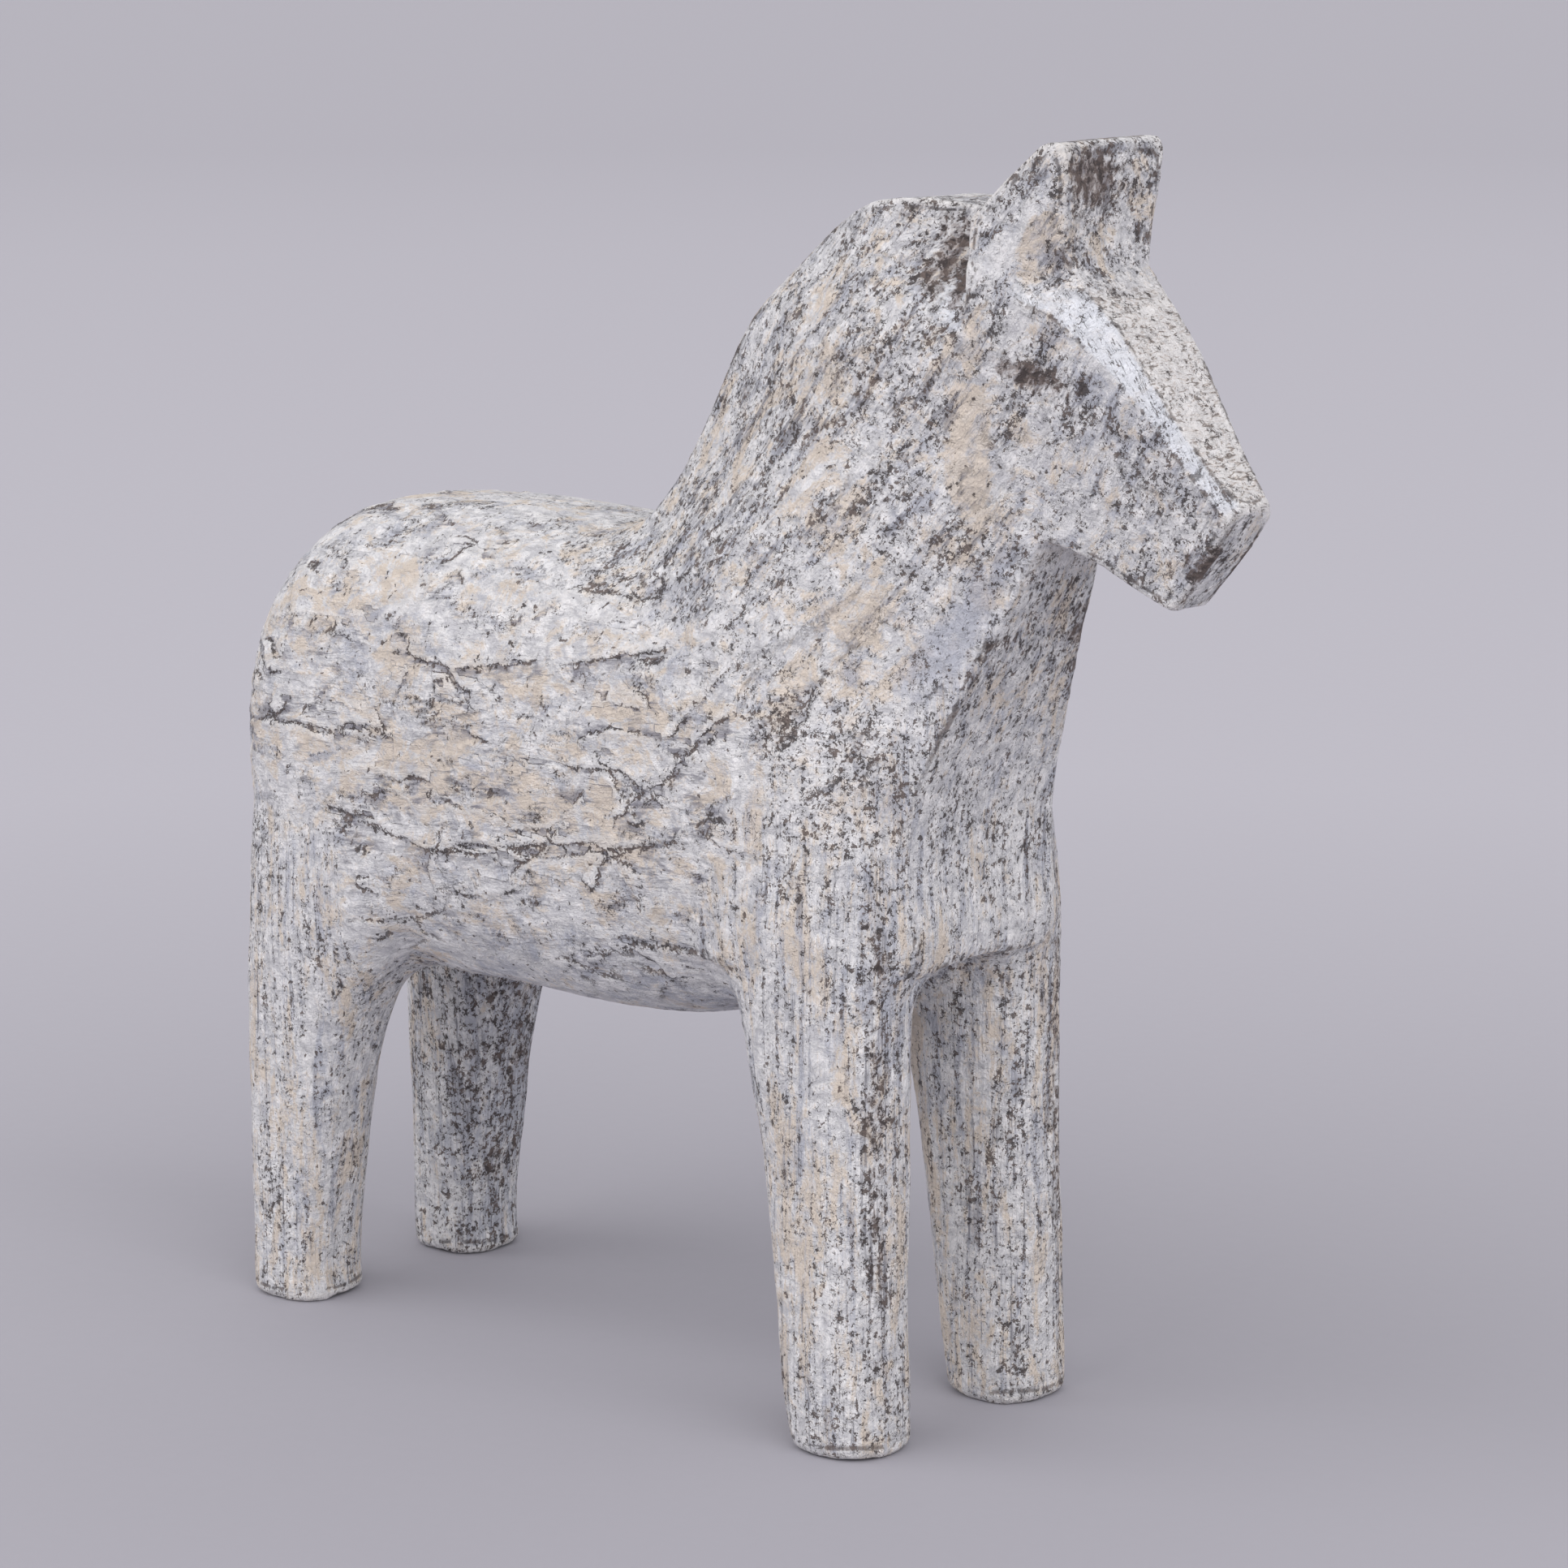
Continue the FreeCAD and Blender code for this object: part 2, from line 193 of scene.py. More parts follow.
def distance_grid(points, faces, voxel, reach):
    """How far each place is from the surface, below zero inside, up to reach away."""
    transform = openvdb.createLinearTransform(voxel)
    kind = "triangles" if faces.shape[1] == 3 else "quads"
    return openvdb.FloatGrid.createLevelSetFromPolygons(
        points, **{kind: faces}, transform=transform, halfWidth=reach / voxel)


def grid_frame(voxel):
    """The first cell and the cell counts of a box of cells round the whole form."""
    first = np.floor((np.array(CAD_LOW) - MARGIN) / voxel).astype(int)
    last = np.ceil((np.array(CAD_HIGH) + MARGIN) / voxel).astype(int)
    return first, last - first + 1


def dense(grid, voxel):
    """A grid's values as an array."""
    first, shape = grid_frame(voxel)
    values = np.empty(shape, np.float32)
    grid.copyToArray(values, ijk=tuple(int(i) for i in first))
    return values


def filled_corners(points, faces, radius):
    """Distances to the form with its inside corners rounded and its outside corners kept."""
    reach = radius + 4 * COARSE
    swollen = distance_grid(points, faces, COARSE, reach).convertToQuads(isovalue=radius)
    return dense(distance_grid(*swollen, COARSE, reach), COARSE) + radius


def cell_places(voxel):
    """X, Y and Z of the cells, as three arrays that broadcast."""
    first, shape = grid_frame(voxel)
    x, y, z = (voxel * (first[a] + np.arange(shape[a])) for a in range(3))
    return x[:, None, None], y[None, :, None], z[None, None, :]


def resampled(values, first, step, wanted_first, wanted_shape, wanted_step):
    """The array read at another grid's cells, along each axis in turn."""
    for axis in range(3):
        where = wanted_step * (wanted_first[axis] + np.arange(wanted_shape[axis]))
        at = np.clip(where / step - first[axis], 0, values.shape[axis] - 1.001)
        lower = at.astype(int)
        share = (at - lower).astype(np.float32).reshape([-1 if a == axis else 1 for a in range(3)])
        before, after = np.take(values, lower, axis), np.take(values, lower + 1, axis)
        values = before * (1 - share) + after * share
    return values


def soften(values, passes):
    """A slight blur of the distances, which rounds every arris as handling does."""
    for _ in range(passes):
        for axis in range(3):
            before = np.roll(values, 1, axis)
            after = np.roll(values, -1, axis)
            values = 0.5 * values + 0.25 * (before + after)
    return values


def carved_distances():
    """Fine distances to the carved form, its inside corners rounded where a knife turned."""
    points, faces = outside()
    band = 4 * COARSE
    coarse = np.clip(dense(distance_grid(points, faces, COARSE, 5 * COARSE), COARSE), -band, band)
    x, _, z = cell_places(COARSE)
    head = smooth(x, 0.058, 0.070) * smooth(z, 0.180, 0.195)
    barrel = smooth(x, -0.085, -0.065) * (1 - smooth(x, 0.052, 0.066)) * smooth(z, 0.100, 0.125)
    wide = np.clip(filled_corners(points, faces, BARREL_RADIUS), -band, band)
    tight = np.clip(filled_corners(points, faces, CORNER_RADIUS), -band, band)
    added = np.minimum(barrel * (wide - coarse), (1 - head) * (tight - coarse)).astype(np.float32)
    fine = np.clip(dense(distance_grid(points, faces, FINE, band), FINE), -band, band)
    fine_first, fine_shape = grid_frame(FINE)
    fine += resampled(added, grid_frame(COARSE)[0], COARSE, fine_first, fine_shape, FINE)
    return soften(fine, 1)


def surface(distances):
    """Points and quads where the distance is zero."""
    grid = openvdb.FloatGrid(4 * COARSE)
    grid.transform = openvdb.createLinearTransform(FINE)
    first, _ = grid_frame(FINE)
    grid.copyFromArray(distances, ijk=tuple(int(i) for i in first))
    return grid.convertToQuads(isovalue=0)


def read_grid(values, points):
    """The array's value at each point, between its cells."""
    first, shape = grid_frame(FINE)
    at = np.clip(points / FINE - first, 0, np.array(shape) - 1.001)
    cell = at.astype(int)
    f = at - cell
    total = np.zeros(len(points))
    for corner, share in cell_corners(f):
        total += share * values[tuple((cell + corner).T)]
    return total


# ------------------------------------------------------------------ zones of the paint


def zones(points, normals):
    """How much a place belongs to each zone of the paint. Column is the legs and the chest."""
    stray = 0.014 * layered(points, 0.014, 31, 3)
    x, z = points[:, 0] + stray, points[:, 2] + stray
    leg_top = 0.060 + 0.075 * smooth(x, 0.012, 0.034) + 0.045 * (1 - smooth(x, -0.108, -0.084))
    leg = 1 - smooth(z, leg_top, leg_top + 0.040)
    chest = smooth(normals[:, 0], 0.35, 0.75) * smooth(x, 0.050, 0.060)
    column = np.maximum(leg, chest * (1 - smooth(z, 0.192, 0.206)))
    neck = smooth(z + 0.5 * x, 0.172, 0.198) * (1 - column)
    flank = (1 - column) * (1 - neck)
    belly = flank * (1 - smooth(z, 0.098, 0.124))
    x, _, z = points.T
    head = neck * smooth(x - 0.35 * (0.26 - z), 0.066, 0.074)
    below_ears = smooth(z, 0.196, 0.202) * (1 - smooth(z, 0.262, 0.268))
    front = smooth(normals[:, 0] + normals[:, 2], 0.35, 0.60) * below_ears
    side = smooth(np.abs(normals[:, 1]), 0.25, 0.50)
    return {"column": column, "neck": neck, "flank": flank, "belly": belly, "head": head,
            "nose": head * front * (1 - side), "chamfer": head * front * side}


def overlap(points, degrees, seed):
    """A field that is zero where one pass of the brush ends over another."""
    along = turned(points, degrees)
    wander = 0.0020 * layered(points, 0.012, seed, 2)
    along = along + np.stack([wander, wander, -wander], axis=1)
    return (noise(along, (0.048, 0.020, 0.0092), seed + 1)
            + 0.34 * noise(along, (0.013, 0.008, 0.0048), seed + 2)
            + 0.15 * noise(along, (0.0055, 0.004, 0.0026), seed + 3))


# The longest torn edges on the flanks, as (x, z): the top coat's lower edge, then the rest.
TEARS = [
    ((-0.105, 0.1300), (-0.087, 0.1280), (-0.068, 0.1235), (-0.058, 0.1265), (-0.022, 0.1320),
     (0.005, 0.1350)),
    ((-0.066, 0.1660), (-0.050, 0.1700), (-0.034, 0.1730)),
    ((-0.022, 0.1730), (-0.008, 0.1780), (0.004, 0.1800)),
    ((-0.008, 0.1400), (0.009, 0.1520), (0.027, 0.1680)),
    ((-0.104, 0.1490), (-0.090, 0.1510), (-0.080, 0.1495)),
    ((0.029, 0.1730), (0.039, 0.1860), (0.050, 0.1900)),
]


def tears(points):
    """Metres above the nearest of the longest torn edges, and how near it is, 0 to 1."""
    x, _, z = points.T
    ragged = 0.0013 * layered(points, 0.0065, 71, 2)
    above = np.full(len(points), FAR_OFF)
    for line in TEARS:
        along, height = np.array(line).T
        slope = np.ptp(height) / np.ptp(along)
        off = (z - np.interp(x, along, height) + ragged) / math.hypot(1, slope)
        beside = (x > along[0]) & (x < along[-1])
        above = np.where(beside & (np.abs(off) < np.abs(above)), off, above)
    return above, 1 - smooth(np.abs(above), 0.0015, 0.0050)


def daubs(points):
    """Metres to the nearest edge where strokes overlap, above zero on the upper stroke."""
    x, _, z = points.T
    shoulder = smooth(x + 0.4 * (z - 0.13), 0.020, 0.050)
    nearest, _ = tears(points)
    high = smooth(z, 0.160, 0.176)
    step, least_slope = 0.0003, 8.0
    passes = [(5.0, 41, 1 - shoulder - 0.4 * high), (48.0, 141, shoulder),
              (-4.0, 241, 0.9 - shoulder - high)]
    for degrees, seed, share in passes:
        here = overlap(points, degrees, seed)
        slopes = [(overlap(points + step * way, degrees, seed) - here) / step for way in np.eye(3)]
        distance = here / np.maximum(np.sqrt(sum(slope**2 for slope in slopes)), least_slope)
        lumps = layered(turned(points, degrees), (0.022, 0.014, 0.0085), seed + 9, 2)
        distance = np.where(lumps + 0.5 * share - 0.5 > -0.14, distance, FAR_OFF)
        nearest = np.where(np.abs(distance) < np.abs(nearest), distance, nearest)
    return np.clip(nearest, -FAR_OFF, FAR_OFF)


def torn(points):
    """0 to 1: how far the edge of an overlap has lifted and torn here."""
    by_chance = smooth(layered(turned(points, 6.0), (0.020, 0.012, 0.0080), 51, 2), -0.25, 0.15)
    return np.maximum(by_chance, tears(points)[1])


def blobs(points, places):
    """The sum of soft patches, each a centre, its sizes, how it rises to +X and its weight."""
    total = np.zeros(len(points))
    for centre, size, rise, weight in places:
        off = turned(points - np.array(centre), rise) / np.array(size)
        total += weight * np.exp(-(off**2).sum(axis=1))
    return total


# Where much paint was rubbed away (or little, below zero), and where the cream and the blue-grey
# coats show, on both sides of the horse. Some entries are painted shade, and some lighten the paint
# as painted light; these are marked. Centre, size, rise to +X in degrees, weight.
RUBBED_AND_SHADING = [
    # painted shade: a dark column down each fore leg near its front arris, the shading of the form
    ((0.0632, 0.0322, 0.085), (0.0040, 0.0042, 0.090), 0, 1.1),
    # painted shade in the notch between the mane's end and the ears, and beside it
    ((0.0680, 0.0120, 0.270), (0.0060, 0.0200, 0.013), 0, 1.4),
    ((0.0735, 0.0150, 0.264), (0.0016, 0.0200, 0.009), 0, 1.3),
    ((0.1130, 0.0150, 0.236), (0.0200, 0.0150, 0.0035), -42, 0.5),
    ((0.0800, 0.0185, 0.1820), (0.0240, 0.0070, 0.0013), 63, 1.0),
    ((0.0775, 0.0195, 0.1915), (0.0190, 0.0080, 0.0035), 61, -0.5),
    ((0.0520, 0.0300, 0.190), (0.0170, 0.0200, 0.011), 48, -0.8),
    ((0.1350, 0.0058, 0.2085), (0.0100, 0.0010, 0.0040), 50, 1.7),
    ((0.0920, 0.0190, 0.2475), (0.0110, 0.0200, 0.0035), -14, 1.9),
    ((0.1010, 0.0150, 0.2560), (0.0070, 0.0110, 0.0045), -20, -1.6),
    ((0.0545, 0.0255, 0.242), (0.0150, 0.0200, 0.004), 58, 0.8),
    ((0.0740, 0.0200, 0.232), (0.0100, 0.0200, 0.004), 70, 0.7),
    ((0.0250, 0.0250, 0.235), (0.0100, 0.0200, 0.006), 40, 0.5),
    ((0.0160, 0.0330, 0.212), (0.0160, 0.0200, 0.004), 45, 0.6),
    ((0.0400, 0.0400, 0.168), (0.0180, 0.0200, 0.004), 50, 0.6),
    ((0.1330, 0.0080, 0.210), (0.0045, 0.0060, 0.007), -60, 0.9),
    ((0.0930, 0.0150, 0.207), (0.0120, 0.0140, 0.004), -28, 0.8),
    ((0.0850, 0.0060, 0.190), (0.0060, 0.0140, 0.020), 0, 0.5),
    ((-0.0850, 0.0250, 0.168), (0.0600, 0.0300, 0.018), 0, -0.6),
    # painted light: less rubbing, so lighter paint, on the hind legs, the belly's underside and the
    # chest's front
    ((-0.1000, 0.0400, 0.060), (0.0400, 0.0120, 0.070), 0, -0.4),
    ((-0.0200, 0.0350, 0.098), (0.0700, 0.0300, 0.012), 0, -0.5),
    ((0.0680, 0.0050, 0.145), (0.0060, 0.0200, 0.035), 0, -0.4),
]
CREAM = [
    ((0.0560, 0.0290, 0.188), (0.0150, 0.0200, 0.010), 48, 1.1),
    ((0.0795, 0.0190, 0.232), (0.0042, 0.0200, 0.026), 4, 2.8),
    ((0.0960, 0.0170, 0.277), (0.0060, 0.0100, 0.009), 0, 1.3),
    ((-0.0200, 0.0420, 0.136), (0.0550, 0.0200, 0.013), -8, 0.9),
    ((-0.0900, 0.0420, 0.146), (0.0400, 0.0200, 0.012), -5, 0.7),
    ((-0.0600, 0.0300, 0.168), (0.0500, 0.0300, 0.006), -2, 0.7),
    ((0.0450, 0.0350, 0.050), (0.0100, 0.0200, 0.060), 0, 0.6),
    ((0.0400, 0.0260, 0.240), (0.0090, 0.0200, 0.016), 40, 0.7),
    ((0.1050, 0.0150, 0.226), (0.0060, 0.0200, 0.008), 60, 0.8),
    # painted light: less cream, so whiter paint, on the chest's front
    ((0.0680, 0.0050, 0.150), (0.0060, 0.0200, 0.040), 0, -0.8),
]
BLUE = [
    ((0.0775, 0.0195, 0.1915), (0.0210, 0.0100, 0.0045), 61, 2.4),
    ((0.0640, 0.0290, 0.150), (0.0200, 0.0080, 0.0040), 84, 1.2),
    ((-0.0100, 0.0300, 0.098), (0.0600, 0.0300, 0.012), 0, 0.7),
    ((0.0700, 0.0240, 0.185), (0.0100, 0.0140, 0.024), 20, 1.0),
    ((0.0100, 0.0360, 0.195), (0.0250, 0.0200, 0.008), 40, 0.9),
    ((0.1180, 0.0120, 0.236), (0.0220, 0.0120, 0.006), -52, 1.2),
    ((-0.1000, 0.0400, 0.172), (0.0200, 0.0200, 0.009), 0, 0.8),
    ((0.0620, 0.0280, 0.105), (0.0060, 0.0100, 0.030), 0, 0.7),
]
# On one side only: painted shade over darker paint on the left hind leg's inner side, under the
# body, and a bare patch on the ears' front.
HIND_LEG_SHADE_AND_PAINT = [((-0.1050, 0.0330, 0.040), (0.0300, 0.0250, 0.060), 0, 1.0)]
EAR_PATCH = [((0.1026, -0.0070, 0.2890), (0.0050, 0.0085, 0.0070), 0, 1.25)]


def both_sides(points):
    """The points, with those of the horse's right side mirrored to its left."""
    return np.stack([points[:, 0], np.abs(points[:, 1]), points[:, 2]], axis=1)


def tints(points, normals):
    """Where more than by chance paint was rubbed away, and the cream and blue-grey coats show.
    The same fields also carry painted shade and painted light.
    """
    mirrored = both_sides(points)
    x, _, z = points.T
    hind_leg_shade_and_paint = blobs(points, HIND_LEG_SHADE_AND_PAINT)
    ear_patch = blobs(points, EAR_PATCH)
    ear_front = smooth(normals[:, 0], 0.8, 0.95) * smooth(x, 0.097, 0.100) * smooth(z, 0.266, 0.272)
    return {
        # painted shade with darker paint on the left hind leg's inner side: more rubbing, no cream,
        # more blue-grey
        "rubbed": blobs(mirrored, RUBBED_AND_SHADING) + ear_patch + 0.5 * ear_front + 1.2 * hind_leg_shade_and_paint,
        "cream": blobs(mirrored, CREAM) - hind_leg_shade_and_paint,
        "blue": blobs(mirrored, BLUE) + 2.0 * hind_leg_shade_and_paint,
    }


def relief(points, normals):
    """How far the painted surface stands off the carved form, in metres."""
    zone = zones(points, normals)
    calm = 1 - 0.65 * zone["head"]
    knife = calm * (KNIFE * noise(points, 0.027, 61) + KNIFE_RIPPLE * noise(points, 0.011, 62))
    flats = zone["column"] * FLAT * layered(points, (0.0085, 0.0085, 0.075), 63, 2)
    daub = daubs(points)
    edge = (zone["flank"] + 0.4 * zone["neck"]) * (1 - zone["head"]) * (0.25 + 0.75 * torn(points))
    edge = edge * (1 - 0.4 * zone["belly"])
    step = STEP * smooth(daub, -0.0006, 0.0008) * np.exp(-np.clip(daub, 0, None) / 0.0055)
    groove = GROOVE * np.exp(-(((daub + 0.0008) / 0.0008) ** 2))
    drag = zone["flank"] * DRAG * layered(turned(points, 8.0), (0.0070, 0.0036, 0.0028), 64, 2)
    comb = zone["column"] * COMB * layered(points, (0.0021, 0.0021, 0.022), 65, 2)
    sweep = zone["neck"] * SWEEP * layered(turned(points, 52.0), (0.010, 0.0026, 0.0022), 66, 2)
    grit = GRIT * noise(points, 0.0017, 67) * (0.4 + 0.6 * (zone["neck"] + zone["column"]))
    return knife + flats + edge * (step + groove) + drag + comb + sweep + grit


def ear_hollow(points, normals):
    """The ears' front face is scooped a little, with a shallow groove down its middle."""
    x, y, z = points.T
    half = 0.0125 + 0.0055 * smooth(z, 0.262, 0.296)
    face = smooth(normals[:, 0], 0.75, 0.95) * smooth(x, 0.0985, 0.1005) * smooth(z, 0.266, 0.273)
    rim = np.clip(1 - (y / half) ** 2, 0, 1)
    groove = np.exp(-((y / 0.0016) ** 2)) * (1 - smooth(z, 0.282, 0.292))
    return -face * (SCOOP * rim + SCOOP_GROOVE * groove)


def turned_head(points):
    """The muzzle leans a little to the horse's right, as carved."""
    moved = points.copy()
    moved[:, 1] -= LEAN * smooth(points[:, 0], 0.100, 0.142) * smooth(points[:, 2], 0.190, 0.196)
    return moved


# ------------------------------------------------------------------ the painted boards


def mesh_of(name, points, faces):
    """A new mesh from arrays."""
    mesh = bpy.data.meshes.new(name)
    mesh.from_pydata(points.tolist(), [], faces.tolist())
    mesh.update()
    return mesh


def read_vectors(items, name):
    """One vector for each of a mesh's items, as an array."""
    values = np.empty(len(items) * 3, np.float32)
    items.foreach_get(name, values)
    return values.reshape(-1, 3)


def store(mesh, name, values):
    """Keeps one number, or one vector, for each point of a mesh."""
    kind, field = ("FLOAT", "value") if values.ndim == 1 else ("FLOAT_VECTOR", "vector")
    attribute = mesh.attributes.new(name, kind, "POINT")
    attribute.data.foreach_set(field, values.astype(np.float32).ravel())


def stored(mesh, name):
    """What store() kept, as an array."""
    data = mesh.attributes[name].data
    vector = mesh.attributes[name].data_type == "FLOAT_VECTOR"
    values = np.empty(len(data) * (3 if vector else 1), np.float32)
    data.foreach_get("vector" if vector else "value", values)
    return values.reshape(-1, 3) if vector else values


def painted_form():
    """The whole outside as one closed mesh, with what the paint needs to know at each point."""
    distances = carved_distances()
    points, faces = surface(distances)
    mesh = mesh_of("painted_form", points, faces)
    points = points.astype(float)
    normals = read_vectors(mesh.vertices, "normal").astype(float)
    raised = relief(points, normals) + ear_hollow(points, normals)
    blunt = soften(distances, WEAR_PASSES)
    edge_wear = (read_grid(blunt, points) - read_grid(distances, points)) / FINE
    placed = turned_head(points + normals * raised[:, None])
    foot = np.clip(placed[:, 2], CAD_LOW.z, None)
    placed[:, 2] = np.where(points[:, 2] < FOOT_HEIGHT, foot, placed[:, 2])
    mesh.vertices.foreach_set("co", placed.astype(np.float32).ravel())
    mesh.update()
    store(mesh, "form_normal", read_vectors(mesh.vertices, "normal"))
    store(mesh, "worn_edge", edge_wear)
    store(mesh, "daub", daubs(points))
    store(mesh, "torn", torn(points))
    for name, weight in (zones(points, normals) | tints(points, normals)).items():
        store(mesh, name, weight)
    return mesh


def block(name, low, high):
    """A closed box between two corners."""
    corners = np.array([[(low, high)[i][0], (low, high)[j][1], (low, high)[k][2]]
                        for i in (0, 1) for j in (0, 1) for k in (0, 1)])
    faces = np.array([[0, 1, 3, 2], [4, 6, 7, 5], [0, 4, 5, 1], [2, 3, 7, 6], [0, 2, 6, 4],
                      [1, 5, 7, 3]])
    return bpy.data.objects.new(name, mesh_of(name, corners, faces))


def cut(obj, tool, operation):
    """The object's mesh after a boolean with the tool."""
    for item in (obj, tool):
        if item.name not in bpy.context.scene.collection.objects:
            bpy.context.scene.collection.objects.link(item)
    modifier = obj.modifiers.new("cut", "BOOLEAN")
    modifier.solver = "MANIFOLD"
    modifier.operation = operation
    modifier.object = tool
    graph = bpy.context.evaluated_depsgraph_get()
    made = bpy.data.meshes.new_from_object(obj.evaluated_get(graph))
    obj.modifiers.clear()
    return made


def bore_tool(dowel):
    """The round bore that a dowel lies in, a little longer than the dowel."""
    low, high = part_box(dowel)
    size = high - low
    axis = max(range(3), key=lambda i: size[i])
    radius = min(size) / 2
    reach = size[axis] / 2 + BORE_GAP
    sides = 48
    turn = [2 * math.pi * i / sides for i in range(sides)]
    ring = np.array([[radius * math.cos(a), radius * math.sin(a)] for a in turn])
    across = [i for i in range(3) if i != axis]
    points = np.zeros((2 * sides, 3))
    points[:, across] = np.vstack([ring, ring])
    points[:sides, axis] = -reach
    points[sides:, axis] = reach
    points += np.array((low + high) / 2)
    walls = [[i, (i + 1) % sides, sides + (i + 1) % sides, sides + i] for i in range(sides)]
    ends = [list(range(sides))[::-1], list(range(sides, 2 * sides))]
    mesh = bpy.data.meshes.new("bore")
    mesh.from_pydata(points.tolist(), [], walls + ends)
    if axis == 1:
        mesh.flip_normals()
    return bpy.data.objects.new("bore", mesh)


def fill_new_points(mesh, tree, values):
    """Gives the points that a cut made the values of the form's points round them."""
    points = read_vectors(mesh.vertices, "co")
    made = np.linalg.norm(stored(mesh, "form_normal"), axis=1) < 0.5
    for index in np.flatnonzero(made):
        near = tree.find_n(Vector(points[index]), 4)
        weights = np.array([1 / (1e-6 + distance) for _, _, distance in near])
        weights /= weights.sum()
        chosen = [i for _, i, _ in near]
        for name, all_values in values.items():
            blended = weights @ all_values[chosen]
            item = mesh.attributes[name].data[int(index)]
            if all_values.ndim == 1:
                item.value = blended
            else:
                item.vector = blended


def inner_faces(mesh, board):
    """Which faces lie on glue lines or in bores."""
    count = len(mesh.polygons)
    centres = read_vectors(mesh.polygons, "center")
    normals = read_vectors(mesh.polygons, "normal")
    inner = np.zeros(count, bool)
    for axis, limits in enumerate(board_limits(board)):
        for limit in limits:
            flat = np.abs(centres[:, axis] - limit) < 1e-5
            inner |= flat & (np.abs(normals[:, axis]) > 0.999)
    for dowel in DOWELS:
        low, high = (np.array(corner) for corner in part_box(dowel))
        inner |= ((centres > low - 2 * BORE_GAP) & (centres < high + 2 * BORE_GAP)).all(axis=1)
    return inner


def set_normals(mesh, inner):
    """The form's own normals on carved faces, so that no glue line shows, and flat ones inside."""
    counts = np.empty(len(mesh.polygons), np.int32)
    mesh.polygons.foreach_get("loop_total", counts)
    corners = np.empty(len(mesh.loops), np.int32)
    mesh.loops.foreach_get("vertex_index", corners)
    owner = np.repeat(np.arange(len(counts)), counts)
    normals = stored(mesh, "form_normal")[corners]
    normals /= np.linalg.norm(normals, axis=1, keepdims=True)
    flat = read_vectors(mesh.polygons, "normal")[owner]
    mesh.normals_split_custom_set(np.where(inner[owner][:, None], flat, normals).tolist())


def make_boards(paint, bare):
    """The painted form cut back into the blank's nine boards, each a closed piece."""
    form = painted_form()
    whole = bpy.data.objects.new("painted_form", form)
    tree = KDTree(len(form.vertices))
    for index, place in enumerate(read_vectors(form.vertices, "co")):
        tree.insert(place, index)
    tree.balance()
    values = {name: stored(form, name) for name in FIELDS}
    bores = [bore_tool(dowel) for dowel in DOWELS]
    spare = [whole] + bores
    for board in BOARDS:
        upright = (-BLANK_REACH, BLANK_REACH)
        limits = np.clip(np.array([*board_limits(board), upright]), *upright)
        blank = block("blank", limits[:, 0], limits[:, 1])
        piece = bpy.data.objects.new(f"painted_{board}", cut(whole, blank, "INTERSECT"))
        for bore in bores:
            piece.data = cut(piece, bore, "DIFFERENCE")
        spare.append(blank)
        fill_new_points(piece.data, tree, values)
        inner = inner_faces(piece.data, board)
        piece.data.materials.clear()
        piece.data.materials.append(paint)
        piece.data.materials.append(bare)
        piece.data.polygons.foreach_set("material_index", inner.astype(np.int32))
        piece.data.polygons.foreach_set("use_smooth", ~inner)
        set_normals(piece.data, inner)
        piece.data.attributes.remove(piece.data.attributes["form_normal"])
        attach(piece, "root")
        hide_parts(board)
    for item in spare:
        bpy.data.objects.remove(item)


# ------------------------------------------------------------------ materials

NOISE_SPREAD = 0.125  # how far one octave of a noise node strays from its middle


